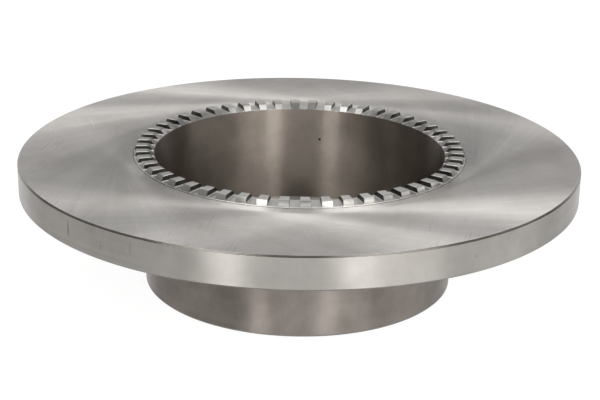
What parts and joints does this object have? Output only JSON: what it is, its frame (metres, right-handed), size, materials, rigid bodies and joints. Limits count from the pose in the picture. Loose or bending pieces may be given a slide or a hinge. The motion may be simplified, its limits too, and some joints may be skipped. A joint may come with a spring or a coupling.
{
  "type": "brake disc",
  "caption": "Solid cast-iron brake disc on a deep hat with a mounting flange, and a toothed sensor ring pressed round the mouth of its bore.",
  "frame": {"origin": "centre of the hat's outer end face, on which the road wheel rests", "axes": "+Z along the turning axis, from the hat's end face towards the friction disc and the sensor ring; the disc has no front, and +X and +Y lie in the plane of its end face"},
  "size_m": [0.28, 0.28, 0.0698],
  "materials": {
    "machined_iron": "ground friction faces, fine-turned rim, hat and bore",
    "ring_steel": "machined, slots milled across"
  },
  "bodies": {
    "root": {"rotor_casting": "machined_iron", "sensor_ring": "ring_steel"}
  },
  "joints": []
}
